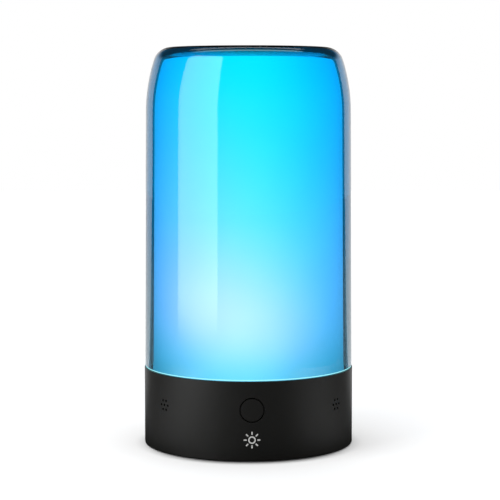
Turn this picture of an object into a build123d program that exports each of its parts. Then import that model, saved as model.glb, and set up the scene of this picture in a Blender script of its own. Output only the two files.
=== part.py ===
from build123d import *
from math import cos, degrees, radians, sin, sqrt, tan
import os

# A smart table lamp: a clear domed cover over an opal diffuser, lit by LED boards on a column, on a
# round base that holds the electronics, a push button, two microphones and the power inlet.
# Millimetres. +Z is up from the table, the button faces -Y and the power inlet faces +Y.

os.makedirs("parts", exist_ok=True)

# ---------------------------------------------------------------- overall sizes
overall_height = 189.5
base_radius = 50.0
base_height = 37.3  # top edge of the base, above the table
foot_stand = 0.5  # gap between the housing and the table

# ---------------------------------------------------------------- fits
loose_fit = 0.3
close_fit = 0.15
screw_fit = 0.05

# ---------------------------------------------------------------- base housing
housing_wall = 2.4
housing_bottom_fillet = 0.6
housing_top_chamfer = 0.25
lip_depth = 4.5  # how far the cover's spigot and gasket reach down inside the base
boss_radius = 3.5
boss_inset = 9.1  # from the housing's inner wall to a boss axis
boss_angle = 28.0  # from the Y axis to a boss, in degrees
rib_thickness = 1.6

# ---------------------------------------------------------------- bottom cover and foot
bottom_thickness = 3.0
foot_groove_depth = 1.2
foot_inset = 3.5
foot_width = 3.0
counterbore_depth = 1.7
vent_count = 20
vent_circle = 19.0
vent_length = 8.0
vent_width = 1.8
label_width = 22.0
label_depth = 12.0
label_thickness = 0.15

# ---------------------------------------------------------------- clear cover and diffuser
cover_wall = 2.5
cover_step = 0.3  # how far the cover stands in from the base
cover_draft = radians(0.48)
crown_flank_radius = 80.0
crown_corner_radius = 8.5
crown_lean = radians(18.0)  # lean of the flank where it meets the corner arc
seam_gap = 0.3
spigot_wall = 1.2
gasket_height = 0.8
diffuser_side_gap = 1.5
diffuser_top_gap = 2.3
diffuser_wall = 1.6
key_count = 3
key_width = 4.0
key_height = 2.0

# ---------------------------------------------------------------- deck
deck_drop = 2.5  # from the base's top edge down to the deck's top face
deck_thickness = 2.5
deck_rib_height = 3.0
deck_rib_wall = 1.4
deck_boss_radius = 2.6
deck_boss_depth = 4.0
lead_hole_radius = 7.0

# ---------------------------------------------------------------- screws
case_shaft = 1.25
case_head = 2.6
case_head_height = 1.6
case_length = 9.0
small_shaft = 0.9
small_head = 1.8
small_head_height = 1.1
small_length = 5.0
tiny_length = 3.0

# ---------------------------------------------------------------- light column and LED boards
column_side = 26.0
column_wall = 2.0
column_corner = 2.0
column_headroom = 28.0  # from the column's top to the diffuser
flange_screw_reach = 3.6  # from the column's face to a flange screw's axis
flange_margin = 2.9  # from a flange screw's axis to the flange's edge
flange_thickness = 2.5
cap_thickness = 2.0
cap_plug_height = 4.0
cap_plug_wall = 1.5
cap_boss_radius = 2.2
led_board_thickness = 1.2
strip_width = 12.0
strip_clear = 5.5  # from the flange to the strip, and from the strip to the column's top
strip_screw_inset = 3.0
led_side = 5.0
led_height = 1.6
led_window_radius = 1.9
led_window_depth = 0.3
led_pitch = 14.5
ring_led_count = 12
ring_screw_count = 3
top_board_radius = 15.0
top_led_circle = 8.5
top_screw_offset = 6.0

# ---------------------------------------------------------------- main board
board_thickness = 1.6
board_standoff = 4.2
standoff_radius = 2.8
standoff_angle = 25.0  # from the Y axis to a standoff, in degrees
standoff_inset = 4.3
board_clear = 1.0
board_tab_width = 14.0
radio_board_size = (25.5, 18.0, 0.8)
radio_shield_size = (17.5, 15.8, 2.4)
radio_place = (-18.0, 3.0)
inductor_side = 7.0
inductor_height = 4.0
inductor_place = (17.0, 12.0)
capacitor_radius = 3.15
capacitor_height = 7.7
capacitor_places = [(-8.0, 22.0), (8.0, 22.0), (19.0, 21.0)]
driver_size = (5.0, 6.0, 1.6)
driver_places = [(9.0, -11.0), (16.5, -11.0), (13.0, 1.0)]
chip_size = (2.0, 1.2, 0.6)
chip_pitch = (3.4, 2.6)
chip_counts = (5, 3)
chip_place = (-5.0, -16.0)
socket_size = (6.0, 4.5, 5.0)
socket_wall = 0.7
socket_floor = 1.5
column_socket_size = (8.0, 6.0, 5.0)

# ---------------------------------------------------------------- power inlet
plug_hole_radius = 5.0
plug_hole_chamfer = 0.5
jack_width = 9.0
jack_height = 11.0
jack_length = 13.0
jack_axis_rise = 6.0  # from the board to the inlet's axis
jack_bore = 3.15
jack_bore_depth = 9.5
jack_pin_radius = 1.0
jack_pin_setback = 1.0
jack_root_radius = 1.4
jack_root_depth = 2.0
jack_slot_width = 2.2
jack_slot_depth = 1.0
jack_spring_width = 1.8
jack_spring_thickness = 0.3

# ---------------------------------------------------------------- button and switch
button_drop = 13.1  # from the base's top edge down to the button's centre
button_radius = 5.2
button_gap = 0.55
button_flange = 1.2  # how far the retaining flange stands out beyond the cap
button_flange_thickness = 1.2
button_stem_radius = 1.6
button_stem_length = 1.6
button_travel = 0.6
switch_side = 6.0
switch_base_depth = 3.2
switch_cover_thickness = 0.3
switch_shaft = 1.75
switch_shaft_stand = 0.8
switch_chamber_radius = 2.45
switch_chamber_depth = 2.0
switch_flange_radius = 2.3
switch_flange_thickness = 0.6
dome_thickness = 0.15
button_board_width = 27.0
button_board_height = 13.0
button_post_offset = 10.8
button_post_radius = 2.2

# ---------------------------------------------------------------- microphones
mic_angle = 53.2  # from the button round to each microphone, in degrees
mic_drop = 14.0  # from the base's top edge down to a microphone's axis
mic_hole_radius = 0.6
mic_hole_pitch = 2.4
mic_radius = 3.0
mic_length = 2.7
boot_wall = 1.15
boot_lip = 0.8
boot_lip_opening = 2.7
collar_wall = 1.2

# ---------------------------------------------------------------- printed mark
mark_drop = 26.8  # from the base's top edge down to the mark's centre
mark_print = 0.1
mark_ring_outer = 1.75
mark_ring_inner = 1.15
mark_ray_count = 8
mark_ray_start = 2.45
mark_ray_length = 1.35
mark_ray_width = 0.6

# ---------------------------------------------------------------- leads
main_lead_radius = 1.8
thin_lead_radius = 0.8
lead_bend = 3.0
branch_bend = 1.2
mic_socket_circle = 30.0
button_socket_circle = 29.5

# ---------------------------------------------------------------- derived places
housing_inner = base_radius - housing_wall
seam_top = base_height + seam_gap
shelf_height = base_height - lip_depth
spigot_bottom = shelf_height + gasket_height
cover_radius = base_radius - cover_step
cover_inner = cover_radius - cover_wall / cos(cover_draft)
spigot_outer = cover_inner + spigot_wall
lip_inner = spigot_outer + close_fit

deck_top = base_height - deck_drop
deck_bottom = deck_top - deck_thickness
deck_radius = min(cover_inner, housing_inner) - loose_fit
diffuser_inset = cover_wall + diffuser_side_gap
diffuser_top = overall_height - cover_wall - diffuser_top_gap
diffuser_inner_top = diffuser_top - diffuser_wall

bottom_inside = foot_stand + bottom_thickness
bottom_radius = housing_inner - close_fit
foot_outer = base_radius - foot_inset
foot_inner = foot_outer - foot_width
boss_circle = housing_inner - boss_inset
case_pilot = case_shaft + screw_fit
small_pilot = small_shaft + screw_fit

board_bottom = bottom_inside + board_standoff
board_top = board_bottom + board_thickness
board_radius = boss_circle - boss_radius - board_clear
standoff_circle = board_radius - standoff_inset
board_tab_end = sqrt(housing_inner**2 - (board_tab_width / 2) ** 2) - loose_fit

jack_axis = board_top + jack_axis_rise
jack_face = sqrt(housing_inner**2 - (jack_width / 2) ** 2) - close_fit
jack_back = jack_face - jack_length
jack_floor = jack_face - jack_bore_depth

button_height = base_height - button_drop
button_hole = button_radius + button_gap
flange_reach = button_radius + button_flange
flange_front = sqrt(housing_inner**2 - flange_reach**2) - close_fit
flange_back = flange_front - button_flange_thickness
stem_tip = flange_back - button_stem_length
switch_front = stem_tip - switch_shaft_stand
switch_seat = switch_front - switch_cover_thickness
button_board_front = switch_seat - switch_base_depth
button_board_back = button_board_front - board_thickness
chamber_floor = switch_seat - switch_chamber_depth
plunger_front = stem_tip - screw_fit
plunger_flange_front = switch_seat - screw_fit
plunger_back = plunger_flange_front - switch_flange_thickness
dome_rise = plunger_back - screw_fit - chamber_floor

mic_height = base_height - mic_drop
boot_radius = mic_radius + boot_wall
collar_inner = boot_radius + close_fit
collar_outer = collar_inner + collar_wall
boot_front = sqrt(housing_inner**2 - boot_radius**2) - close_fit
mic_front = boot_front - boot_lip
mic_back = mic_front - mic_length

mark_height = base_height - mark_drop

column_half = column_side / 2
column_inner = column_side - 2 * column_wall
flange_screw_circle = column_half + flange_screw_reach
flange_radius = flange_screw_circle + flange_margin
column_bottom = deck_top
column_top = diffuser_inner_top - column_headroom
strip_bottom = column_bottom + flange_thickness + strip_clear
strip_top = column_top - strip_clear
strip_length = strip_top - strip_bottom
strip_middle = (strip_top + strip_bottom) / 2
strip_led_count = int((strip_length - 2 * strip_screw_inset - led_side) // led_pitch) + 1
cap_top = column_top + cap_thickness
ring_board_inner = flange_radius + board_clear
ring_board_outer = boss_circle - case_head - board_clear
ring_led_circle = (ring_board_inner + ring_board_outer) / 2
ring_lead_angle = 180.0 / ring_led_count

# ---------------------------------------------------------------- places that repeat


def around(angle, height, distance):
    """Plane that faces outward, distance from the lamp's axis, angle degrees round from the front."""
    turn = radians(angle)
    return Plane(
        origin=(distance * sin(turn), -distance * cos(turn), height),
        x_dir=(cos(turn), sin(turn), 0),
        z_dir=(sin(turn), -cos(turn), 0),
    )


boss_spots = [
    (side * boss_circle * sin(radians(boss_angle)), end * boss_circle * cos(radians(boss_angle)))
    for side in (-1, 1)
    for end in (-1, 1)
]
standoff_spots = [
    (
        side * standoff_circle * sin(radians(standoff_angle)),
        end * standoff_circle * cos(radians(standoff_angle)),
    )
    for side in (-1, 1)
    for end in (-1, 1)
]
rib_places = [
    Location((0, 0, 0), (0, 0, quarter + lean))
    for quarter in (90, 270)
    for lean in (-boss_angle, boss_angle)
]
sides = {"front": 0, "right": 90, "back": 180, "left": 270}
mic_sides = {"left": -mic_angle, "right": mic_angle}


def save(piece, name):
    """Labels a finished piece and writes it as the node of that name."""
    piece.part.label = name
    export_step(piece.part, f"parts/{name}.step")


# ---------------------------------------------------------------- screws and LEDs


def make_screw(shaft, length, head, head_height):
    """Pan-head cross-recess screw, with its head's underside at the origin and its head towards +Z."""
    with BuildPart() as screw:
        with BuildSketch(Plane.XZ):
            with BuildLine():
                tip = (shaft * 0.4, -length)
                rim = (head, head_height * 0.4)
                crown = (0, head_height)
                Polyline(crown, (0, -length), tip, (shaft, shaft - length), (shaft, 0), (head, 0), rim)
                TangentArc(crown, rim, tangent=(1, 0))
            make_face()
        revolve(axis=Axis.Z)
        with BuildSketch(Plane.XY.offset(head_height)):
            Rectangle(head * 1.1, head * 0.28)
            Rectangle(head * 0.28, head * 1.1)
        extrude(amount=-head_height * 0.6, mode=Mode.SUBTRACT)
    return screw.part


def make_led():
    """Square surface-mount LED with its seat at the origin and its window towards +Z."""
    with BuildPart() as led:
        with BuildSketch():
            Rectangle(led_side, led_side)
        extrude(amount=led_height)
        with BuildSketch(Plane.XY.offset(led_height)):
            Circle(led_window_radius)
        extrude(amount=-led_window_depth, mode=Mode.SUBTRACT)
    return led.part


case_screw = make_screw(case_shaft, case_length, case_head, case_head_height)
small_screw = make_screw(small_shaft, small_length, small_head, small_head_height)
tiny_screw = make_screw(small_shaft, tiny_length, small_head, small_head_height)
led_package = make_led()


def place_all(piece, locations):
    """Copies of a piece at each location, as one group of separate solids."""
    with BuildPart() as group:
        with Locations(*locations):
            add(piece)
    return group


# ---------------------------------------------------------------- cover, diffuser and gasket


def dome_section(inset, bottom, top):
    """Half section of a dome that lies inset inside the cover's outer surface, from bottom to top."""
    flank_radius = crown_flank_radius - inset
    corner_radius = crown_corner_radius - inset
    flank_rise = flank_radius * (sin(crown_lean) - sin(cover_draft))
    corner_rise = corner_radius * (1 - sin(crown_lean))
    straight = top - bottom - flank_rise - corner_rise
    foot = cover_radius - inset / cos(cover_draft) - (bottom - seam_top) * tan(cover_draft)
    with BuildSketch(Plane.XZ) as section:
        with BuildLine():
            side = Line((foot, bottom), (foot - straight * tan(cover_draft), bottom + straight))
            flank = JernArc(side @ 1, side % 1, flank_radius, degrees(crown_lean - cover_draft))
            corner = JernArc(flank @ 1, flank % 1, corner_radius, 90 - degrees(crown_lean))
            Polyline(corner @ 1, (0, top), (0, bottom), (foot, bottom))
        make_face()
    return section.sketch


with BuildPart() as outer_cover:
    revolve(dome_section(0, seam_top, overall_height), axis=Axis.Z)
    inside = dome_section(cover_wall, seam_top, overall_height - cover_wall)
    revolve(inside, axis=Axis.Z, mode=Mode.SUBTRACT)
    with BuildSketch(Plane.XY.offset(spigot_bottom)):
        Circle(spigot_outer)
        Circle(cover_inner, mode=Mode.SUBTRACT)
    extrude(amount=seam_top - spigot_bottom)
save(outer_cover, "outer_cover")

with BuildPart() as inner_diffuser:
    revolve(dome_section(diffuser_inset, deck_top, diffuser_top), axis=Axis.Z)
    inside = dome_section(diffuser_inset + diffuser_wall, deck_top, diffuser_inner_top)
    revolve(inside, axis=Axis.Z, mode=Mode.SUBTRACT)
    diffuser_foot = inner_diffuser.faces().sort_by(Axis.Z)[0]
    diffuser_seat_outer = diffuser_foot.outer_wire().bounding_box().size.X / 2
    with BuildSketch(Plane.XY.offset(deck_top)):
        with PolarLocations(diffuser_seat_outer, key_count, start_angle=90):
            Rectangle(4 * diffuser_wall, key_width)
    extrude(amount=key_height + loose_fit, mode=Mode.SUBTRACT)
diffuser_seat_inner = diffuser_seat_outer - diffuser_wall / cos(cover_draft)
save(inner_diffuser, "inner_diffuser")

with BuildPart() as cover_gasket:
    with BuildSketch(Plane.XY.offset(shelf_height)):
        Circle(lip_inner - screw_fit)
        Circle(housing_inner, mode=Mode.SUBTRACT)
    extrude(amount=gasket_height)
save(cover_gasket, "cover_gasket")

# ---------------------------------------------------------------- base housing

with BuildPart() as base_housing:
    with BuildSketch(Plane.XZ):
        with BuildLine():
            Polyline(
                (housing_inner, foot_stand),
                (base_radius, foot_stand),
                (base_radius, base_height),
                (lip_inner, base_height),
                (lip_inner, shelf_height),
                (housing_inner, shelf_height),
                close=True,
            )
        make_face()
    revolve(axis=Axis.Z)
    outer_rims = base_housing.edges().filter_by(GeomType.CIRCLE).sort_by(SortBy.RADIUS)[-2:]
    fillet(outer_rims.sort_by(Axis.Z)[0], radius=housing_bottom_fillet)
    top_rims = base_housing.edges().filter_by(GeomType.CIRCLE).sort_by(SortBy.RADIUS)[-2:]
    chamfer(top_rims.sort_by(Axis.Z)[-1], length=housing_top_chamfer)
    # screw bosses, each tied to the wall by a rib
    with BuildSketch(Plane.XY.offset(bottom_inside)):
        with Locations(*boss_spots):
            Circle(boss_radius)
        with Locations(*rib_places):
            with Locations((boss_circle, 0)):
                rib_length = boss_inset + housing_wall / 2
                Rectangle(rib_length, rib_thickness, align=(Align.MIN, Align.CENTER))
    extrude(amount=deck_bottom - bottom_inside)
    # posts for the button's board
    with BuildSketch(around(0, button_height, button_board_front)):
        with Locations((-button_post_offset, 0), (button_post_offset, 0)):
            Circle(button_post_radius)
    post_wall = sqrt(housing_inner**2 - (button_post_offset - button_post_radius) ** 2)
    extrude(amount=post_wall + housing_wall / 4 - button_board_front)
    # collars for the microphones' boots
    for angle in mic_sides.values():
        with BuildSketch(around(angle, mic_height, mic_back)):
            Circle(collar_outer)
        extrude(amount=housing_inner + housing_wall / 4 - mic_back)
    for angle in mic_sides.values():
        with BuildSketch(around(angle, mic_height, mic_back)):
            Circle(collar_inner)
        collar_depth = sqrt(housing_inner**2 - collar_inner**2) - mic_back
        extrude(amount=collar_depth, mode=Mode.SUBTRACT)
        with BuildSketch(around(angle, mic_height, mic_back)):
            Circle(mic_hole_radius)
            with PolarLocations(mic_hole_pitch, 6):
                Circle(mic_hole_radius)
        extrude(amount=base_radius - mic_back + 1, mode=Mode.SUBTRACT)
    # screw pilots
    with BuildSketch(Plane.XY.offset(bottom_inside)):
        with Locations(*boss_spots):
            Circle(case_pilot)
    extrude(amount=deck_bottom - bottom_inside, mode=Mode.SUBTRACT)
    with BuildSketch(around(0, button_height, button_board_front)):
        with Locations((-button_post_offset, 0), (button_post_offset, 0)):
            Circle(small_pilot)
    extrude(amount=small_length, mode=Mode.SUBTRACT)
    # openings for the button and the plug
    with BuildSketch(around(0, button_height, flange_front)):
        Circle(button_hole)
    extrude(amount=base_radius - flange_front + 1, mode=Mode.SUBTRACT)
    with BuildSketch(around(180, jack_axis, jack_face)):
        Circle(plug_hole_radius)
    extrude(amount=base_radius - jack_face + 1, mode=Mode.SUBTRACT)
save(base_housing, "base_housing")

with BuildPart() as front_mark:
    with BuildSketch(Plane.XY.offset(mark_height - base_radius / 4)):
        Circle(base_radius + mark_print)
        Circle(base_radius, mode=Mode.SUBTRACT)
    extrude(amount=base_radius / 2)
    with BuildSketch(around(0, mark_height, base_radius / 2)):
        Circle(mark_ring_outer)
        Circle(mark_ring_inner, mode=Mode.SUBTRACT)
        with PolarLocations(mark_ray_start, mark_ray_count):
            Rectangle(mark_ray_length, mark_ray_width, align=(Align.MIN, Align.CENTER))
    extrude(amount=base_radius, mode=Mode.INTERSECT)
save(front_mark, "front_mark")

# ---------------------------------------------------------------- bottom cover, foot and label

with BuildPart() as bottom_cover:
    with BuildSketch(Plane.XY.offset(foot_stand)):
        Circle(bottom_radius)
    extrude(amount=bottom_thickness)
    with BuildSketch(Plane.XY.offset(foot_stand)):
        Circle(foot_outer + screw_fit)
        Circle(foot_inner - screw_fit, mode=Mode.SUBTRACT)
    extrude(amount=foot_groove_depth, mode=Mode.SUBTRACT)
    with BuildSketch(Plane.XY.offset(bottom_inside)):
        with Locations(*standoff_spots):
            Circle(standoff_radius)
    extrude(amount=board_standoff)
    with BuildSketch(Plane.XY.offset(board_bottom)):
        with Locations(*standoff_spots):
            Circle(small_pilot)
    extrude(amount=-small_length, mode=Mode.SUBTRACT)
    with BuildSketch(Plane.XY.offset(foot_stand)):
        with Locations(*boss_spots):
            Circle(case_shaft + close_fit)
        with PolarLocations(vent_circle, vent_count):
            SlotOverall(vent_length, vent_width)
    extrude(amount=bottom_thickness, mode=Mode.SUBTRACT)
    with BuildSketch(Plane.XY.offset(foot_stand)):
        with Locations(*boss_spots):
            Circle(case_head + loose_fit)
    extrude(amount=counterbore_depth, mode=Mode.SUBTRACT)
save(bottom_cover, "bottom_cover")

with BuildPart() as foot_ring:
    with BuildSketch():
        Circle(foot_outer)
        Circle(foot_inner, mode=Mode.SUBTRACT)
    extrude(amount=foot_stand + foot_groove_depth)
save(foot_ring, "foot_ring")

with BuildPart() as blank_label:
    with BuildSketch(Plane.XY.offset(foot_stand - label_thickness)):
        RectangleRounded(label_width, label_depth, 1.0)
    extrude(amount=label_thickness)
save(blank_label, "blank_label")

head_seat = foot_stand + counterbore_depth
housing_screws = place_all(
    case_screw, [Location((x, y, head_seat), (180, 0, 0)) for x, y in boss_spots]
)
save(housing_screws, "housing_screws")

# ---------------------------------------------------------------- deck

flange_screw_spots = [
    (flange_screw_circle * cos(radians(turn)), flange_screw_circle * sin(radians(turn)))
    for turn in range(0, 360, 90)
]
ring_screw_turns = [ring_lead_angle + 360 / ring_screw_count * n for n in range(ring_screw_count)]
ring_screw_spots = [
    (ring_led_circle * cos(radians(turn)), ring_led_circle * sin(radians(turn)))
    for turn in ring_screw_turns
]
ring_lead_turn = radians(-ring_lead_angle)
ring_lead_spot = (ring_led_circle * cos(ring_lead_turn), ring_led_circle * sin(ring_lead_turn))
ring_lead_hole = thin_lead_radius + loose_fit
rib_outer = diffuser_seat_inner - close_fit

with BuildPart() as deck:
    with BuildSketch(Plane.XY.offset(deck_bottom)):
        Circle(deck_radius)
    extrude(amount=deck_thickness)
    with BuildSketch(Plane.XY.offset(deck_top)):
        Circle(rib_outer)
        Circle(rib_outer - deck_rib_wall, mode=Mode.SUBTRACT)
    extrude(amount=deck_rib_height)
    with BuildSketch(Plane.XY.offset(deck_top)):
        with PolarLocations(rib_outer - deck_rib_wall / 2, key_count, start_angle=90):
            key_length = diffuser_wall + deck_rib_wall / 2
            Rectangle(key_length, key_width - loose_fit, align=(Align.MIN, Align.CENTER))
    extrude(amount=key_height)
    with BuildSketch(Plane.XY.offset(deck_bottom)):
        with Locations(*flange_screw_spots, *ring_screw_spots):
            Circle(deck_boss_radius)
    extrude(amount=-deck_boss_depth)
    with BuildSketch(Plane.XY.offset(deck_top)):
        with Locations(*flange_screw_spots, *ring_screw_spots):
            Circle(small_pilot)
    extrude(amount=-small_length, mode=Mode.SUBTRACT)
    with BuildSketch(Plane.XY.offset(deck_top)):
        Circle(lead_hole_radius)
        with Locations(*boss_spots):
            Circle(case_shaft + close_fit)
        with Locations(ring_lead_spot):
            Circle(ring_lead_hole)
    extrude(amount=-deck_thickness, mode=Mode.SUBTRACT)
save(deck, "reflector_deck")

deck_screws = place_all(case_screw, [Location((x, y, deck_top)) for x, y in boss_spots])
save(deck_screws, "deck_screws")

# ---------------------------------------------------------------- light column

strip_screw_heights = (strip_bottom + strip_screw_inset, strip_top - strip_screw_inset)
branch_height = column_bottom + flange_thickness + thin_lead_radius + loose_fit

with BuildPart() as light_column:
    with BuildSketch(Plane.XY.offset(column_bottom)):
        Circle(flange_radius)
    extrude(amount=flange_thickness)
    with BuildSketch(Plane.XY.offset(column_bottom)):
        RectangleRounded(column_side, column_side, column_corner)
    extrude(amount=column_top - column_bottom)
    with BuildSketch(Plane.XY.offset(column_bottom)):
        Rectangle(column_inner, column_inner)
    extrude(amount=column_top - column_bottom, mode=Mode.SUBTRACT)
    with BuildSketch(Plane.XY.offset(column_bottom)):
        with Locations(*flange_screw_spots):
            Circle(small_shaft + close_fit)
    extrude(amount=flange_thickness, mode=Mode.SUBTRACT)
    for angle in sides.values():
        for height in strip_screw_heights:
            with BuildSketch(around(angle, height, column_half)):
                Circle(small_pilot)
            extrude(amount=-column_wall, mode=Mode.SUBTRACT)
        with BuildSketch(around(angle, branch_height, column_half)):
            Circle(thin_lead_radius + loose_fit / 2)
        extrude(amount=-column_wall, mode=Mode.SUBTRACT)
save(light_column, "light_column")

column_screws = place_all(
    small_screw,
    [Location((x, y, column_bottom + flange_thickness)) for x, y in flange_screw_spots],
)
save(column_screws, "column_screws")

top_screw_spots = [
    (top_screw_offset, top_screw_offset),
    (-top_screw_offset, -top_screw_offset),
]
cap_plug = column_inner - 2 * close_fit

with BuildPart() as column_cap:
    with BuildSketch(Plane.XY.offset(column_top)):
        RectangleRounded(column_side, column_side, column_corner)
    extrude(amount=cap_thickness)
    with BuildSketch(Plane.XY.offset(column_top)):
        Rectangle(cap_plug, cap_plug)
        inner = cap_plug - 2 * cap_plug_wall
        Rectangle(inner, inner, mode=Mode.SUBTRACT)
        with Locations(*top_screw_spots):
            Circle(cap_boss_radius)
    extrude(amount=-cap_plug_height)
    with BuildSketch(Plane.XY.offset(cap_top)):
        with Locations(*top_screw_spots):
            Circle(small_pilot)
    extrude(amount=-small_length, mode=Mode.SUBTRACT)
    with BuildSketch(Plane.XY.offset(cap_top)):
        Circle(main_lead_radius + loose_fit)
    extrude(amount=-cap_thickness, mode=Mode.SUBTRACT)
save(column_cap, "column_cap")

# ---------------------------------------------------------------- LED boards

led_heights = [
    strip_middle + led_pitch * (n - (strip_led_count - 1) / 2) for n in range(strip_led_count)
]
strip_face = column_half + led_board_thickness
for side, angle in sides.items():
    with BuildPart() as led_strip:
        with BuildSketch(around(angle, strip_middle, column_half)):
            Rectangle(strip_width, strip_length)
            with Locations(*[(0, height - strip_middle) for height in strip_screw_heights]):
                Circle(small_shaft + close_fit, mode=Mode.SUBTRACT)
        extrude(amount=led_board_thickness)
    save(led_strip, f"{side}_led_strip")
    strip_leds = place_all(
        led_package, [around(angle, height, strip_face).location for height in led_heights]
    )
    save(strip_leds, f"{side}_leds")

strip_screws = place_all(
    tiny_screw,
    [
        around(angle, height, strip_face).location
        for angle in sides.values()
        for height in strip_screw_heights
    ],
)
save(strip_screws, "strip_screws")

with BuildPart() as ring_led_board:
    with BuildSketch(Plane.XY.offset(deck_top)):
        Circle(ring_board_outer)
        Circle(ring_board_inner, mode=Mode.SUBTRACT)
        with Locations(*ring_screw_spots):
            Circle(small_shaft + close_fit, mode=Mode.SUBTRACT)
    extrude(amount=led_board_thickness)
save(ring_led_board, "ring_led_board")

with BuildPart() as ring_leds:
    with Locations((0, 0, deck_top + led_board_thickness)):
        with PolarLocations(ring_led_circle, ring_led_count):
            add(led_package)
save(ring_leds, "ring_leds")

ring_screws = place_all(
    small_screw,
    [Location((x, y, deck_top + led_board_thickness)) for x, y in ring_screw_spots],
)
save(ring_screws, "ring_board_screws")

with BuildPart() as top_led_board:
    with BuildSketch(Plane.XY.offset(cap_top)):
        Circle(top_board_radius)
        with Locations(*top_screw_spots):
            Circle(small_shaft + close_fit, mode=Mode.SUBTRACT)
    extrude(amount=led_board_thickness)
save(top_led_board, "top_led_board")

with BuildPart() as top_leds:
    with Locations((0, 0, cap_top + led_board_thickness)):
        with PolarLocations(top_led_circle, 4):
            add(led_package)
save(top_leds, "top_leds")

top_screws = place_all(
    small_screw, [Location((x, y, cap_top + led_board_thickness)) for x, y in top_screw_spots]
)
save(top_screws, "top_board_screws")

# ---------------------------------------------------------------- main board

with BuildPart() as main_board:
    with BuildSketch(Plane.XY.offset(board_bottom)):
        Circle(board_radius)
        Rectangle(board_tab_width, board_tab_end, align=(Align.CENTER, Align.MIN))
        with Locations(*standoff_spots):
            Circle(small_shaft + close_fit, mode=Mode.SUBTRACT)
    extrude(amount=board_thickness)
save(main_board, "main_board")

board_screws = place_all(small_screw, [Location((x, y, board_top)) for x, y in standoff_spots])
save(board_screws, "board_screws")


def make_blocks(size, places):
    """Rectangular packages of one size, standing on the main board at each place."""
    with BuildPart() as blocks:
        with Locations(*[(x, y, board_top) for x, y in places]):
            Box(*size, align=(Align.CENTER, Align.CENTER, Align.MIN))
    return blocks


save(make_blocks(driver_size, driver_places), "driver_chips")

chip_columns, chip_rows = chip_counts
chip_places = [
    (
        chip_place[0] + chip_pitch[0] * (column - (chip_columns - 1) / 2),
        chip_place[1] + chip_pitch[1] * (row - (chip_rows - 1) / 2),
    )
    for column in range(chip_columns)
    for row in range(chip_rows)
]
save(make_blocks(chip_size, chip_places), "small_chips")
radio_board = make_blocks(radio_board_size, [radio_place])
save(radio_board, "radio_board")

with BuildPart() as radio_shield:
    shield_shift = (radio_board_size[0] - radio_shield_size[0]) / 2 - close_fit
    with BuildSketch(Plane.XY.offset(board_top + radio_board_size[2])):
        with Locations((radio_place[0] + shield_shift, radio_place[1])):
            Rectangle(radio_shield_size[0], radio_shield_size[1])
    extrude(amount=radio_shield_size[2])
    fillet(radio_shield.edges().filter_by(Axis.Z), radius=0.8)
save(radio_shield, "radio_shield")

with BuildPart() as power_inductor:
    with BuildSketch(Plane.XY.offset(board_top)):
        with Locations(inductor_place):
            RectangleRounded(inductor_side, inductor_side, 1.0)
    extrude(amount=inductor_height)
    with BuildSketch(Plane.XY.offset(board_top + inductor_height)):
        with Locations(inductor_place):
            Circle(inductor_side * 0.4)
            Circle(inductor_side * 0.32, mode=Mode.SUBTRACT)
    extrude(amount=-0.5, mode=Mode.SUBTRACT)
save(power_inductor, "power_inductor")

with BuildPart() as capacitors:
    with BuildSketch(Plane.XY.offset(board_top)):
        with Locations(*capacitor_places):
            Circle(capacitor_radius)
    extrude(amount=capacitor_height)
    fillet(capacitors.edges().filter_by(GeomType.CIRCLE).group_by(Axis.Z)[-1], radius=0.5)
save(capacitors, "capacitors")

mic_socket_places = [around(angle, board_top, mic_socket_circle) for angle in mic_sides.values()]
button_socket_place = around(0, board_top, button_socket_circle)
small_socket_spots = [
    (place.origin.X, place.origin.Y, turn)
    for place, turn in zip([*mic_socket_places, button_socket_place], [*mic_sides.values(), 0])
]
small_socket_spots.append((*ring_lead_spot, 90))

with BuildPart() as lead_sockets:
    with BuildSketch(Plane.XY.offset(board_top)):
        with Locations(*[Location((x, y, 0), (0, 0, turn)) for x, y, turn in small_socket_spots]):
            Rectangle(socket_size[0], socket_size[1])
        Rectangle(column_socket_size[0], column_socket_size[1])
    extrude(amount=socket_size[2])
    with BuildSketch(Plane.XY.offset(board_top + socket_size[2])):
        with Locations(*[Location((x, y, 0), (0, 0, turn)) for x, y, turn in small_socket_spots]):
            Rectangle(socket_size[0] - 2 * socket_wall, socket_size[1] - 2 * socket_wall)
        Rectangle(
            column_socket_size[0] - 2 * socket_wall,
            column_socket_size[1] - 2 * socket_wall,
        )
    extrude(amount=socket_floor - socket_size[2], mode=Mode.SUBTRACT)
save(lead_sockets, "lead_sockets")

# ---------------------------------------------------------------- power inlet

with BuildPart() as power_jack:
    with BuildSketch(around(180, board_top + jack_height / 2, jack_back)):
        Rectangle(jack_width, jack_height)
    extrude(amount=jack_length)
    with BuildSketch(around(180, jack_axis, jack_face)):
        Circle(jack_bore)
        with Locations((0, -jack_bore)):
            Rectangle(jack_slot_width, 2 * jack_slot_depth)
    extrude(amount=-jack_bore_depth, mode=Mode.SUBTRACT)
    with BuildSketch(around(180, jack_axis, jack_floor)):
        Circle(jack_root_radius)
    extrude(amount=-jack_root_depth, mode=Mode.SUBTRACT)
save(power_jack, "power_jack")

with BuildPart() as jack_pin:
    with BuildSketch(around(180, jack_axis, jack_floor)):
        Circle(jack_root_radius)
    extrude(amount=-jack_root_depth)
    with BuildSketch(around(180, jack_axis, jack_floor)):
        Circle(jack_pin_radius)
    extrude(amount=jack_bore_depth - jack_pin_setback)
    pin_rims = jack_pin.edges().filter_by(GeomType.CIRCLE).sort_by(Axis.Y)
    fillet(pin_rims[-1], radius=jack_pin_radius / 2)
save(jack_pin, "jack_pin")

with BuildPart() as jack_spring:
    spring_seat = jack_bore + jack_slot_depth - jack_spring_thickness / 2
    with BuildSketch(around(180, jack_axis - spring_seat, jack_floor)):
        Rectangle(jack_spring_width, jack_spring_thickness)
    extrude(amount=jack_bore_depth - jack_pin_setback)
save(jack_spring, "jack_spring")

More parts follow.
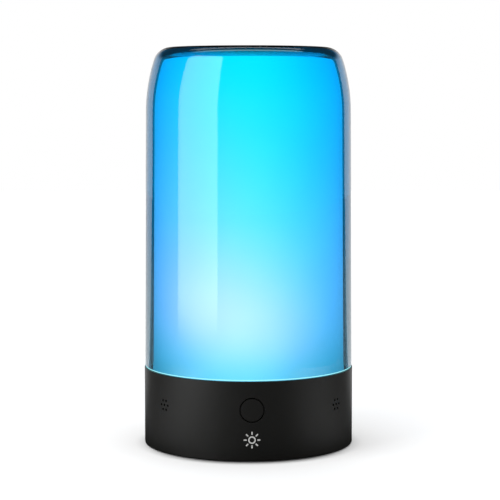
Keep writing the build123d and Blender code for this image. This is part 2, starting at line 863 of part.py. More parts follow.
# ---------------------------------------------------------------- button and switch

with BuildPart() as button_cap:
    with BuildSketch(around(0, button_height, flange_front)):
        Circle(button_radius)
    extrude(amount=base_radius)
    with BuildSketch(Plane.XY.offset(button_height - base_radius / 2)):
        Circle(base_radius)
    extrude(amount=base_radius, mode=Mode.INTERSECT)
    with BuildSketch(around(0, button_height, flange_back)):
        Circle(flange_reach)
    extrude(amount=button_flange_thickness)
    with BuildSketch(around(0, button_height, stem_tip)):
        Circle(button_stem_radius)
    extrude(amount=button_stem_length)
save(button_cap, "button_cap")

with BuildPart() as switch_base:
    with BuildSketch(around(0, button_height, button_board_front)):
        Rectangle(switch_side, switch_side)
    extrude(amount=switch_base_depth)
    with BuildSketch(around(0, button_height, switch_seat)):
        Circle(switch_chamber_radius)
    extrude(amount=-switch_chamber_depth, mode=Mode.SUBTRACT)
save(switch_base, "switch_base")

with BuildPart() as switch_cover:
    with BuildSketch(around(0, button_height, switch_seat)):
        Rectangle(switch_side, switch_side)
        Circle(switch_shaft + close_fit, mode=Mode.SUBTRACT)
    extrude(amount=switch_cover_thickness)
save(switch_cover, "switch_cover")

with BuildPart() as switch_plunger:
    with BuildSketch(around(0, button_height, plunger_back)):
        Circle(switch_flange_radius)
    extrude(amount=switch_flange_thickness)
    with BuildSketch(around(0, button_height, plunger_back)):
        Circle(switch_shaft)
    extrude(amount=plunger_front - plunger_back)
save(switch_plunger, "switch_plunger")

with BuildPart() as dome_shape:
    with BuildSketch(Plane.XZ):
        with BuildLine():
            outer_foot, inner_foot = (switch_flange_radius, 0), (switch_flange_radius - dome_thickness, 0)
            outer_crown, inner_crown = (0, dome_rise), (0, dome_rise - dome_thickness)
            TangentArc(outer_crown, outer_foot, tangent=(1, 0))
            TangentArc(inner_crown, inner_foot, tangent=(1, 0))
            Line(outer_foot, inner_foot)
            Line(outer_crown, inner_crown)
        make_face()
    revolve(axis=Axis.Z)
switch_dome = place_all(dome_shape.part, [around(0, button_height, chamber_floor).location])
save(switch_dome, "switch_dome")

with BuildPart() as button_board:
    with BuildSketch(around(0, button_height, button_board_back)):
        Rectangle(button_board_width, button_board_height)
        with Locations((-button_post_offset, 0), (button_post_offset, 0)):
            Circle(small_shaft + close_fit, mode=Mode.SUBTRACT)
    extrude(amount=board_thickness)
save(button_board, "button_board")

button_board_screws = place_all(
    small_screw,
    [
        Location((side * button_post_offset, -button_board_back, button_height), (-90, 0, 0))
        for side in (-1, 1)
    ],
)
save(button_board_screws, "button_board_screws")

# ---------------------------------------------------------------- microphones

for side, angle in mic_sides.items():
    with BuildPart() as mic_boot:
        with BuildSketch(around(angle, mic_height, mic_back)):
            Circle(boot_radius)
        extrude(amount=boot_front - mic_back)
        with BuildSketch(around(angle, mic_height, mic_back)):
            Circle(mic_radius + screw_fit)
        extrude(amount=mic_length, mode=Mode.SUBTRACT)
        with BuildSketch(around(angle, mic_height, mic_front)):
            Circle(boot_lip_opening)
        extrude(amount=boot_lip, mode=Mode.SUBTRACT)
    save(mic_boot, f"{side}_mic_boot")

    with BuildPart() as microphone:
        with BuildSketch(around(angle, mic_height, mic_back)):
            Circle(mic_radius)
        extrude(amount=mic_length)
        with BuildSketch(around(angle, mic_height, mic_front)):
            with PolarLocations(mic_radius / 3, 3):
                Circle(mic_hole_radius / 2)
        extrude(amount=-mic_length / 4, mode=Mode.SUBTRACT)
    save(microphone, f"{side}_microphone")

# ---------------------------------------------------------------- leads

socket_bed = board_top + socket_floor


def make_lead(angle, start, stop, bend, radius):
    """Round lead in the upright plane at angle: start and stop are (distance, height) from the axis."""
    upright = Plane(origin=(0, 0, 0), x_dir=around(angle, 0, 1).z_dir, z_dir=around(angle, 0, 1).x_dir)
    # the plane's own Y runs down or up with the turn, so heights are taken along it
    rise = 1 if upright.y_dir.Z > 0 else -1
    inward = 1 if stop[0] > start[0] else -1
    climb = 1 if stop[1] > start[1] else -1
    with BuildPart() as lead:
        with BuildLine(upright) as path:
            first = (start[0], rise * start[1])
            turn_in = (stop[0] - inward * bend, rise * start[1])
            turn_out = (stop[0], rise * (start[1] + climb * bend))
            Line(first, turn_in)
            TangentArc(turn_in, turn_out, tangent=(inward, 0))
            Line(turn_out, (stop[0], rise * stop[1]))
        with BuildSketch(Plane(origin=path.line @ 0, z_dir=path.line % 0)):
            Circle(radius)
        sweep(path=path.line)
    return lead


for side, angle in mic_sides.items():
    mic_lead = make_lead(
        angle, (mic_back, mic_height), (mic_socket_circle, socket_bed), lead_bend, thin_lead_radius
    )
    save(mic_lead, f"{side}_mic_lead")

button_lead = make_lead(
    0,
    (button_board_back, button_height),
    (button_socket_circle, socket_bed),
    lead_bend,
    thin_lead_radius,
)
save(button_lead, "button_lead")

with BuildPart() as ring_lead:
    with BuildSketch(Plane.XY.offset(socket_bed)):
        with Locations(ring_lead_spot):
            Circle(thin_lead_radius)
    extrude(amount=deck_top - socket_bed)
save(ring_lead, "ring_lead")

with BuildPart() as column_lead:
    with BuildSketch(Plane.XY.offset(socket_bed)):
        Circle(main_lead_radius)
    extrude(amount=cap_top - socket_bed)
save(column_lead, "column_lead")

with BuildPart() as strip_leads:
    for angle in sides.values():
        branch = make_lead(
            angle,
            (main_lead_radius + screw_fit, branch_height),
            (column_half + branch_bend, strip_bottom),
            branch_bend,
            thin_lead_radius,
        )
        add(branch.part)
save(strip_leads, "strip_leads")
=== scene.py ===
"""Looks of a smart table lamp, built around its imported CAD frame.

The lamp has a clear, lightly tinted cover over a glowing opal diffuser, on a black base with a push
button, two microphones, a printed light symbol and a power inlet. Every length is in metres unless its
name says otherwise, every angle is in degrees, +Z is up from the table and the button faces -Y.
"""

from __future__ import annotations

import logging
import math
from dataclasses import dataclass, field
from enum import Enum

import bmesh
import bpy
from mathutils import Matrix, Vector


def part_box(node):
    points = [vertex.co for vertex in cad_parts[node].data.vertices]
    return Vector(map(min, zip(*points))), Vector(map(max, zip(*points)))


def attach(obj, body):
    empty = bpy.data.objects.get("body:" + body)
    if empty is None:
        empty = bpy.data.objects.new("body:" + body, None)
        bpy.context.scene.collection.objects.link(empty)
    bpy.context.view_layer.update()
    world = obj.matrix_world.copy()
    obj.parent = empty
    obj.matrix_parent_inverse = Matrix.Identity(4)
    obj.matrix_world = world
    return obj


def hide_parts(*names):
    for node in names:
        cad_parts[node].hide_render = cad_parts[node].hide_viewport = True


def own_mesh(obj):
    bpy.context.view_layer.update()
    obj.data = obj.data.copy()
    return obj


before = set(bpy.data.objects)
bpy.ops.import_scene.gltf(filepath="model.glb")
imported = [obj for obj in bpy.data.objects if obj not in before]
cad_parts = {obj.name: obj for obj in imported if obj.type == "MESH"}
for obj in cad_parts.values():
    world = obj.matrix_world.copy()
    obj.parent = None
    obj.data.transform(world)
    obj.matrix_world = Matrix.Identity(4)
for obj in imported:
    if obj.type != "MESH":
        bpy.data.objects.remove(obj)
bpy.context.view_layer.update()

log = logging.getLogger("lamp")

MM = 0.001
# A point nearer to the axis than this is on it
POLE_RADIUS = 1e-7
# Faces that meet at a larger angle than this keep a sharp edge between them
SHARP_ANGLE = 28.0
# The middle range of a noise, which a mottle spreads over its whole contrast
NOISE_LOW, NOISE_HIGH = 0.3, 0.7
# Times this, a direction keeps its level part only
LEVEL_ONLY = (1.0, 1.0, 0.0)
WHITE = "#ffffff"

Colour = tuple[float, float, float, float]
Profile = list[tuple[float, float]]
Stops = tuple[tuple[float, str], ...]


class Body(Enum):
    """The CAD body that the pieces made here ride on."""

    LAMP = "lamp"


class Slot(Enum):
    """Names of two of the record's material slots."""

    CLEAR_COVER = "clear_cover"
    SHIELD_TIN = "shield_tin"


@dataclass(frozen=True)
class Span:
    """How one value follows another: low before start, high after end, and even steps between."""

    start: float
    end: float
    low: float
    high: float

    def inputs(self, value: bpy.types.NodeSocket) -> dict[int, object]:
        """Returns what a map range node takes to follow value."""
        return {0: value, 1: self.start, 2: self.end, 3: self.low, 4: self.high}


# ---------------------------------------------------------------- helpers


def linear(hex_colour: str) -> Colour:
    """Turns an sRGB hex colour into the linear colour that a shader takes.

    Args:
        hex_colour: six hex digits with a leading hash.

    Returns:
        Linear red, green and blue, and an alpha of 1.
    """
    channels = [int(hex_colour[i : i + 2], 16) / 255 for i in (1, 3, 5)]
    rgb = [c / 12.92 if c <= 0.04045 else ((c + 0.055) / 1.055) ** 2.4 for c in channels]
    return rgb[0], rgb[1], rgb[2], 1.0


def add_node(
    tree: bpy.types.NodeTree,
    kind: str,
    inputs: dict[int | str, object] | None = None,
    **settings: object,
) -> bpy.types.Node:
    """Adds a node, with its own settings and with its inputs set or linked.

    Args:
        tree: the node tree that takes the node.
        kind: Blender's name for the type of node.
        inputs: input name or number to a value, or to the output that feeds it.
        **settings: the node's own properties.

    Returns:
        The new node.
    """
    node = tree.nodes.new(kind)
    for name, value in settings.items():
        setattr(node, name, value)
    for key, value in (inputs or {}).items():
        if isinstance(value, bpy.types.NodeSocket):
            tree.links.new(value, node.inputs[key])
        else:
            node.inputs[key].default_value = value
    return node


def set_ramp(node: bpy.types.Node, stops: Stops) -> None:
    """Gives a colour ramp its stops.

    Args:
        node: the colour ramp node.
        stops: (place, hex colour) pairs in rising order.
    """
    elements = node.color_ramp.elements
    while len(elements) < len(stops):
        elements.new(1.0)
    for element, (place, colour) in zip(elements, stops):
        element.position = place
        element.color = linear(colour)


# ---------------------------------------------------------------- finishes


@dataclass(frozen=True)
class Finish:
    """A plain finish: one material with a faint mottle in its colour and roughness."""

    name: str
    colour: str
    roughness: float
    metallic: float = 0.0
    ior: float = 1.5
    mottle_mm: float = 6.0
    mottle: float = 0.06
    mottle_detail: float = 3.0
    grain_mm: float = 0.25
    grain_depth_mm: float = 0.0
    grain_detail: float = 2.0

    def material(self) -> bpy.types.Material:
        """Returns this finish's material, made on first use.

        Returns:
            The material of this name.
        """
        known = bpy.data.materials.get(self.name)
        if known:
            return known
        made = bpy.data.materials.new(self.name)
        made.use_nodes = True
        made.diffuse_color = linear(self.colour)
        tree = made.node_tree
        shader = tree.nodes["Principled BSDF"]
        shader.inputs["Base Color"].default_value = linear(self.colour)
        shader.inputs["Roughness"].default_value = self.roughness
        shader.inputs["Metallic"].default_value = self.metallic
        if not self.metallic:
            shader.inputs["IOR"].default_value = self.ior
        place = add_node(tree, "ShaderNodeTexCoord").outputs["Object"]
        self.pattern(tree, shader, place)
        return made

    def pattern(
        self, tree: bpy.types.NodeTree, shader: bpy.types.Node, place: bpy.types.NodeSocket
    ) -> None:
        """Adds the finish's own pattern: a mottle in colour and roughness, and a grain if it has one."""
        self.mottled(tree, shader, place)
        self.grained(tree, shader, place)

    def patches(self, tree: bpy.types.NodeTree, place: bpy.types.NodeSocket) -> bpy.types.NodeSocket:
        """Adds soft patches of mottle_mm that vary by the share mottle around 1.

        Args:
            tree: the material's node tree.
            place: the piece's own coordinates, in metres.

        Returns:
            The patches' level.
        """
        noise = add_node(
            tree,
            "ShaderNodeTexNoise",
            {"Vector": place, "Scale": 1 / (self.mottle_mm * MM), "Detail": self.mottle_detail},
        )
        contrast = Span(NOISE_LOW, NOISE_HIGH, 1 - self.mottle, 1 + self.mottle)
        return add_node(tree, "ShaderNodeMapRange", contrast.inputs(noise.outputs["Fac"])).outputs[0]

    def tinted(
        self, tree: bpy.types.NodeTree, shader: bpy.types.Node, level: bpy.types.NodeSocket
    ) -> None:
        """Gives the shader this finish's colour, lighter and darker with a level.

        Args:
            tree: the material's node tree.
            shader: its Principled node.
            level: a level around 1.
        """
        tint = add_node(
            tree, "ShaderNodeVectorMath", {0: linear(self.colour)[:3], "Scale": level}, operation="SCALE"
        )
        tree.links.new(tint.outputs[0], shader.inputs["Base Color"])

    def mottled(
        self, tree: bpy.types.NodeTree, shader: bpy.types.Node, place: bpy.types.NodeSocket
    ) -> None:
        """Varies colour and roughness in soft patches of mottle_mm.

        Args:
            tree: the material's node tree.
            shader: its Principled node.
            place: the piece's own coordinates, in metres.
        """
        level = self.patches(tree, place)
        self.tinted(tree, shader, level)
        rough = add_node(tree, "ShaderNodeMath", {0: level, 1: self.roughness}, operation="MULTIPLY")
        tree.links.new(rough.outputs[0], shader.inputs["Roughness"])

    def grained(
        self, tree: bpy.types.NodeTree, shader: bpy.types.Node, place: bpy.types.NodeSocket
    ) -> None:
        """Adds a fine grain of grain_mm to the surface, if it has a depth.

        Args:
            tree: the material's node tree.
            shader: its Principled node.
            place: the piece's own coordinates, in metres.
        """
        if not self.grain_depth_mm:
            return
        grain = add_node(
            tree,
            "ShaderNodeTexNoise",
            {"Vector": place, "Scale": 1 / (self.grain_mm * MM), "Detail": self.grain_detail},
        )
        bump = add_node(
            tree,
            "ShaderNodeBump",
            {"Height": grain.outputs["Fac"], "Distance": self.grain_depth_mm * MM, "Strength": 1.0},
        )
        tree.links.new(bump.outputs[0], shader.inputs["Normal"])


@dataclass(frozen=True)
class ClearPolycarbonate(Finish):
    """Polished tinted polycarbonate: clear face on, and deeper in colour where its wall is seen edge on."""

    tint: str = "#38aab3"
    tint_per_mm: float = 0.32

    def pattern(
        self, tree: bpy.types.NodeTree, shader: bpy.types.Node, place: bpy.types.NodeSocket
    ) -> None:
        """Makes the shader clear, and has the plastic take up light along the way through it.

        Args:
            tree: the material's node tree.
            shader: its Principled node.
            place: the piece's own coordinates, in metres.
        """
        shader.inputs["Transmission Weight"].default_value = 1.0
        self.tinted(tree, shader, self.patches(tree, place))
        dye = add_node(
            tree,
            "ShaderNodeVolumeAbsorption",
            {"Color": linear(self.tint), "Density": self.tint_per_mm / MM},
        )
        tree.links.new(dye.outputs[0], tree.nodes["Material Output"].inputs["Volume"])


@dataclass(frozen=True)
class GlowingOpal(Finish):
    """Frosted opal acrylic lit from inside: white low down, blue-green above, and, as painted shade, bluer
    to each side.

    A swing says how many degrees to the left a lobe of light points, by the share of the height.
    """

    bottom: float = 0.0
    top: float = 0.15
    strength: float = 2.3
    gloss: float = 0.25
    # Painted light: the lobes make the glow brightest facing the front with painted shade aside, and the
    # warm lobe swings further left as a painted highlight of the left softbox
    cool_swing: Span = Span(0.1, 0.4, 8.0, 3.0)
    warm_highlight_swing: Span = Span(0.1, 0.9, 8.0, 32.0)
    lobe_power: float = 4.0
    crown_share: float = 0.6
    crown_blend_mm: float = 36.0
    facing: Stops = ()
    aside: Stops = ()

    def pattern(
        self, tree: bpy.types.NodeTree, shader: bpy.types.Node, place: bpy.types.NodeSocket
    ) -> None:
        """Adds the glow by height and by the way round, under the skin's own gloss.

        Args:
            tree: the material's node tree.
            shader: its Principled node.
            place: the piece's own coordinates, in metres.
        """
        axes = add_node(tree, "ShaderNodeSeparateXYZ", {0: place})
        height = Span(self.bottom, self.top, 0.0, 1.0)
        rise = add_node(tree, "ShaderNodeMapRange", height.inputs(axes.outputs["Z"])).outputs[0]
        glows = []
        for stops in (self.facing, self.aside):
            glow = add_node(tree, "ShaderNodeValToRGB", {0: rise})
            glow.color_ramp.interpolation = "B_SPLINE"
            set_ramp(glow, stops)
            glows.append(glow.outputs[0])
        blends = [
            add_node(
                tree,
                "ShaderNodeMix",
                {"Factor": self.lobe(tree, place, rise, swing), 6: glows[1], 7: glows[0]},
                data_type="RGBA",
            ).outputs[2]
            for swing in (self.warm_highlight_swing, self.cool_swing)
        ]
        warm, cool = (add_node(tree, "ShaderNodeSeparateColor", {0: colour}) for colour in blends)
        blend = add_node(
            tree,
            "ShaderNodeCombineColor",
            {0: warm.outputs[0], 1: cool.outputs[1], 2: cool.outputs[2]},
        )
        light = add_node(
            tree,
            "ShaderNodeVectorMath",
            {0: blend.outputs[0], "Scale": self.patches(tree, place)},
            operation="SCALE",
        )
        tree.links.new(light.outputs[0], shader.inputs["Emission Color"])
        shader.inputs["Emission Strength"].default_value = self.strength
        shader.inputs["Specular IOR Level"].default_value = self.gloss

    def lobe(
        self,
        tree: bpy.types.NodeTree,
        place: bpy.types.NodeSocket,
        rise: bpy.types.NodeSocket,
        swing: Span,
    ) -> bpy.types.NodeSocket:
        """Adds a broad lobe of painted light round the diffuser, strongest in front and even on the crown,
        with painted shade to the sides.

        Args:
            tree: the material's node tree.
            place: the piece's own coordinates, in metres.
            rise: the height, 0 at the foot and 1 at the crown.
            swing: where the lobe points at each height.

        Returns:
            The lobe's share, 0 to 1.
        """
        level_place = add_node(
            tree, "ShaderNodeVectorMath", {0: place, 1: LEVEL_ONLY}, operation="MULTIPLY"
        )
        outward = add_node(
            tree, "ShaderNodeVectorMath", {0: level_place.outputs[0]}, operation="NORMALIZE"
        )
        low, high = (-math.tan(math.radians(turn)) for turn in (swing.low, swing.high))
        sideways = add_node(
            tree, "ShaderNodeMapRange", Span(swing.start, swing.end, low, high).inputs(rise)
        )
        aim = add_node(tree, "ShaderNodeCombineXYZ", {0: sideways.outputs[0], 1: -1.0, 2: 0.0})
        straight = add_node(tree, "ShaderNodeVectorMath", {0: aim.outputs[0]}, operation="NORMALIZE")
        across = add_node(
            tree,
            "ShaderNodeVectorMath",
            {0: outward.outputs[0], 1: straight.outputs[0]},
            operation="DOT_PRODUCT",
        )
        facing = add_node(
            tree, "ShaderNodeMath", {0: across.outputs["Value"], 1: self.lobe_power}, operation="POWER"
        )
        out_by = add_node(
            tree, "ShaderNodeVectorMath", {0: level_place.outputs[0]}, operation="LENGTH"
        )
        edge = add_node(
            tree,
            "ShaderNodeMapRange",
            Span(0.0, self.crown_blend_mm * MM, 0.0, 1.0).inputs(out_by.outputs["Value"]),
            interpolation_type="SMOOTHSTEP",
        )
        return add_node(
            tree,
            "ShaderNodeMix",
            {"Factor": edge.outputs[0], 2: self.crown_share, 3: facing.outputs[0]},
            data_type="FLOAT",
        ).outputs[0]


@dataclass(frozen=True)
class PaintedEdgeGlow(Finish):
    """A ground edge of clear plastic with a painted glow: an emission that stands in for the light the real
    edge catches.
    """

    glow: str = "#a4f4fb"
    strength: float = 0.95

    def pattern(
        self, tree: bpy.types.NodeTree, shader: bpy.types.Node, place: bpy.types.NodeSocket
    ) -> None:
        """Adds the mottle of the grinding and the painted glow.

        Args:
            tree: the material's node tree.
            shader: its Principled node.
            place: the piece's own coordinates, in metres.
        """
        self.mottled(tree, shader, place)
        shader.inputs["Emission Color"].default_value = linear(self.glow)
        shader.inputs["Emission Strength"].default_value = self.strength


# ---------------------------------------------------------------- meshes


def revolve(name: str, profile: Profile, segments: int) -> bpy.types.Object:
    """Turns a closed half section about the lamp's axis into a smooth mesh.

    Args:
        name: the new object's name.
        profile: (radius, height) points in order round the section, closed between last and first. A
            point of no radius makes a pole.
        segments: facets round the axis.

    Returns:
        The new object, linked to the scene.
    """
    mesh = bpy.data.meshes.new(name)
    shape = bmesh.new()
    turns = [2 * math.pi * step / segments for step in range(segments)]
    rings = []
    for radius, height in profile:
        if radius < POLE_RADIUS:
            pole = shape.verts.new((0, 0, height))
            rings.append([pole] * segments)
            continue
        rings.append(
            [shape.verts.new((radius * math.cos(t), radius * math.sin(t), height)) for t in turns]
        )
    for low, high in zip(rings, rings[1:] + rings[:1]):
        for step in range(segments):
            after = (step + 1) % segments
            corners = list(dict.fromkeys((low[step], low[after], high[after], high[step])))
            if len(corners) > 2:
                shape.faces.new(corners)
    bmesh.ops.recalc_face_normals(shape, faces=shape.faces)
    shape.to_mesh(mesh)
    shape.free()
    mesh.shade_smooth()
    mesh.set_sharp_from_angle(angle=math.radians(SHARP_ANGLE))
    made = bpy.data.objects.new(name, mesh)
    bpy.context.scene.collection.objects.link(made)
    return made


def arc(centre: tuple[float, float], radius: float, first: float, last: float, count: int) -> Profile:
    """Points along an arc of a half section.

    Args:
        centre: the arc's centre, as (radius, height).
        radius: the arc's own radius.
        first: where it starts, in degrees from the outward direction towards up.
        last: where it ends.
        count: how many points.

    Returns:
        The points in order, both ends included.
    """
    turns = [math.radians(first + (last - first) * step / (count - 1)) for step in range(count)]
    return [(centre[0] + radius * math.cos(t), centre[1] + radius * math.sin(t)) for t in turns]


# ---------------------------------------------------------------- sub-assemblies


@dataclass
class SubAssembly:
    """A group of pieces that one maker would fit together."""

    finishes: dict[str, Finish] = field(default_factory=dict)

    def build(self) -> None:
        """Builds the group's own meshes, if it has any."""

    def dress(self) -> None:
        """Gives each CAD node of the group its finish."""
        for node, finish in self.finishes.items():
            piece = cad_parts[node]
            for slot in piece.material_slots:
                slot.link = "OBJECT"
                slot.material = finish.material()
            log.info("%s: %s", node, finish.name)


# Clear tinted polycarbonate from a mirror-polished injection mould: sharp highlights, and an edge that
# darkens and turns blue-green where more of the wall is looked through
TINTED_PC = ClearPolycarbonate(
    "polycarbonate_tinted",
    "#fafbfc",
    roughness=0.0,
    ior=1.58,
    mottle_mm=30.0,
    mottle=0.01,
    mottle_detail=1.0,
)
# The same plastic at its ground lower edge, with a painted glow where the real one catches light
PAINTED_EDGE_GLOW = PaintedEdgeGlow("polycarbonate_ground_edge_painted_glow", "#4c8a94", roughness=0.5, ior=1.58, mottle_mm=8.0)
# ABS from a spark-eroded mould: an even, slightly soft black. Its grain, about 0.03 mm on the real one, is
# drawn as coarse as it needs to show, and so are the other plastics' grains
MATTE_ABS = Finish(
    "abs_black_spark_eroded",
    "#151513",
    roughness=0.42,
    grain_mm=0.5,
    grain_depth_mm=0.006,
    mottle=0.05,
)
# The button's finer mould gives a little more sheen
BUTTON_ABS = Finish(
    "abs_black_fine", "#161614", roughness=0.4, grain_mm=0.4, grain_depth_mm=0.004, mottle=0.05
)
# White moulded ABS: spreads light evenly under the diffuser
WHITE_ABS = Finish(
    "abs_white_reflector", "#efefec", roughness=0.5, grain_mm=0.4, grain_depth_mm=0.003
)
# Moulded rubbers: dull, with a soft bloom
FOOT_RUBBER = Finish(
    "silicone_rubber_black", "#121212", roughness=0.85, grain_mm=0.3, grain_depth_mm=0.01
)
GASKET_RUBBER = Finish(
    "epdm_rubber_black", "#060606", roughness=0.9, grain_mm=0.3, grain_depth_mm=0.006
)
# Screen-printed ink and label film: flat, slightly uneven in coverage
SCREEN_INK = Finish("screen_ink_light_grey", "#cfcfcd", roughness=0.55, mottle_mm=1.0, mottle=0.04)
LABEL_FILM = Finish("polyester_label_silver", "#b9bbbd", roughness=0.45, mottle_mm=2.0)
# Extruded and anodised aluminium: a fine satin
ANODISED = Finish(
    "aluminium_extruded_anodised",
    "#c9cbcd",
    roughness=0.35,
    metallic=1.0,
    grain_mm=0.3,
    grain_depth_mm=0.002,
)
# Printed boards: a satin solder mask that shows the copper under it as patches, a smooth yellow gel of
# phosphor on the LEDs, and dull black moulded chips
LED_BOARD = Finish("aluminium_board_white_mask", "#f0f0ec", roughness=0.4, mottle_mm=3.0, mottle=0.02)
PHOSPHOR = Finish("silicone_phosphor_yellow", "#f2e3a0", roughness=0.3, mottle_mm=1.5, mottle=0.08)
GREEN_BOARD = Finish("glass_epoxy_green_mask", "#1a5c3c", roughness=0.35, mottle_mm=1.2, mottle=0.22)
CHIP_EPOXY = Finish(
    "epoxy_moulded_black", "#1b1b1d", roughness=0.6, grain_mm=0.2, grain_depth_mm=0.003
)
# Plated, drawn and blackened metals: soft reflections with faint handling marks, sharpest on the nickel
TIN_PLATE = Finish("steel_tin_plated", "#bdbebf", roughness=0.3, metallic=1.0, mottle_mm=2.0)
CAN_ALUMINIUM = Finish("aluminium_drawn", "#b9bbbd", roughness=0.28, metallic=1.0, mottle_mm=2.0)
NICKEL = Finish("brass_nickel_plated", "#cbc6bb", roughness=0.2, metallic=1.0, mottle_mm=1.0)
ZINC_STEEL = Finish("steel_zinc_plated", "#aeb1b5", roughness=0.35, metallic=1.0, mottle_mm=1.5)
BLACK_STEEL = Finish("steel_black_oxide", "#232324", roughness=0.4, metallic=1.0, mottle_mm=1.5)
# Moulded nylon and extruded PVC: waxy, plain and evenly coloured
NYLON_CREAM = Finish("nylon_cream", "#e8e1cd", roughness=0.45, mottle_mm=2.0)
NYLON_BLACK = Finish("nylon_black", "#17171a", roughness=0.45, mottle_mm=2.0)
PVC_BLACK = Finish("pvc_jacket_black", "#161616", roughness=0.5, mottle_mm=2.0)
PVC_WHITE = Finish("pvc_jacket_white", "#e5e5e1", roughness=0.5, mottle_mm=2.0)

# The diffuser's glow by the share of its height: where it faces the front, and where it faces aside, bluer
# and darker as painted shade
FACING_GLOW: Stops = (
    (0.000, "#62cae7"),
    (0.063, "#89d4ff"),
    (0.115, "#aadbff"),
    (0.170, "#bfdfff"),
    (0.235, "#c2dfff"),
    (0.322, "#a9dcff"),
    (0.408, "#8ddaff"),
    (0.504, "#6bdaff"),
    (0.686, "#46d8ff"),
    (0.865, "#19d8ff"),
    (0.982, "#00d7ff"),
)
ASIDE_PAINTED_SHADE_GLOW: Stops = (
    (0.000, "#2c89aa"),
    (0.063, "#35a0cb"),
    (0.170, "#55afed"),
    (0.322, "#58b3ff"),
    (0.504, "#3eb3ff"),
    (0.686, "#21b3ff"),
    (0.865, "#09b1ff"),
    (0.982, "#00aeff"),
)


@dataclass
class Shade(SubAssembly):
    """The clear cover, the glowing diffuser under it and the gasket between cover and base.

    The cover's outline is the CAD's: a side with a slight draft, a wide flank arc that ends at the lean, a
    tight corner arc and a flat crown.
    """

    wall: float = 2.5 * MM
    spigot_wall: float = 1.2 * MM
    draft: float = 0.48
    lean: float = 18.0
    flank_radius: float = 80.0 * MM
    corner_radius: float = 8.5 * MM
    edge_round: float = 0.5 * MM
    seam_gap: float = 0.3 * MM
    segments: int = 288
    straight_steps: int = 24
    flank_points: int = 40
    corner_points: int = 48
    crown_steps: int = 12
    edge_points: int = 8

    @property
    def seam(self) -> float:
        """The height of the cover's lower edge, just above the base."""
        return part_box("base_housing")[1].z + self.seam_gap

    def dome(self, inset: float, foot: float, top: float) -> Profile:
        """Half outline of the cover's surface, or of one that lies inset inside it.

        Args:
            inset: how far inside the outer surface it lies.
            foot: the height where it starts.
            top: the height of its crown.

        Returns:
            Points from the foot up to the crown on the axis.
        """
        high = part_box("outer_cover")[1]
        draft, lean = math.radians(self.draft), math.radians(self.lean)
        flank, corner = self.flank_radius - inset, self.corner_radius - inset
        curved = flank * (math.sin(lean) - math.sin(draft)) + corner * (1 - math.sin(lean))
        straight = top - foot - curved
        radius = high.x - inset / math.cos(draft) - (foot - self.seam) * math.tan(draft)
        taper = straight * math.tan(draft)
        shares = [step / self.straight_steps for step in range(self.straight_steps)]
        points = [(radius - taper * share, foot + straight * share) for share in shares]
        centre = (
            radius - taper - flank * math.cos(draft),
            foot + straight - flank * math.sin(draft),
        )
        points += arc(centre, flank, self.draft, self.lean, self.flank_points)
        knee = points.pop()
        centre = (knee[0] - corner * math.cos(lean), knee[1] - corner * math.sin(lean))
        points += arc(centre, corner, self.lean, 90.0, self.corner_points)
        flat = points[-1][0]
        shares = [step / self.crown_steps for step in range(1, self.crown_steps + 1)]
        return points + [(flat * (1 - share), top) for share in shares]

    def build(self) -> None:
        """Builds the cover as one solid of revolution, finer than the CAD mesh, its lower edge rounded."""
        low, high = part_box("outer_cover")
        seam = self.seam
        outer = self.dome(0.0, seam, high.z)
        foot_radius = outer[0][0]
        centre = (foot_radius - self.edge_round, seam + self.edge_round)
        rim = arc(centre, self.edge_round, -90.0, 0.0, self.edge_points)
        inner = self.dome(self.wall, seam, high.z - self.wall)
        inner_foot = inner[0][0]
        spigot = inner_foot + self.spigot_wall
        profile = rim + outer[1:] + inner[::-1]
        profile += [(inner_foot, low.z), (spigot, low.z), (spigot, seam)]
        cover = revolve("clear_dome", profile, self.segments)
        cover.data.materials.append(TINTED_PC.material())
        cover.data.materials.append(PAINTED_EDGE_GLOW.material())
        # The rounded lower edge takes the painted edge glow
        for face in cover.data.polygons:
            if face.center.z < seam + self.edge_round and face.center.xy.length > spigot:
                face.material_index = 1
        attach(cover, Body.LAMP.value)
        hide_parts("outer_cover")
        log.info("clear_dome: %d faces", len(cover.data.polygons))

    def dress(self) -> None:
        """Gives the diffuser its glow and the gasket its rubber."""
        low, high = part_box("inner_diffuser")
        # Opal acrylic, moulded and blasted: nothing shows through it but an even glow. The glow carries the
        # colour, so the skin itself is dark, or light from the white room would wash the glow out
        opal = GlowingOpal(
            "acrylic_opal_glowing",
            "#04141a",
            roughness=0.6,
            ior=1.49,
            mottle_mm=14.0,
            mottle=0.008,
            mottle_detail=2.0,
            bottom=low.z,
            top=high.z,
            facing=FACING_GLOW,
            aside=ASIDE_PAINTED_SHADE_GLOW,
        )
        self.finishes = {
            "inner_diffuser": opal,
            "cover_gasket": GASKET_RUBBER,
            "outer_cover": TINTED_PC,
        }
        super().dress()


@dataclass
class Base(SubAssembly):
    """The black housing, its bottom cover, foot, label, printed symbol and screws."""

    finishes: dict[str, Finish] = field(
        default_factory=lambda: {
            "base_housing": MATTE_ABS,
            "bottom_cover": MATTE_ABS,
            "foot_ring": FOOT_RUBBER,
            "blank_label": LABEL_FILM,
            "front_mark": SCREEN_INK,
            "housing_screws": BLACK_STEEL,
            "reflector_deck": WHITE_ABS,
            "deck_screws": ZINC_STEEL,
        }
    )


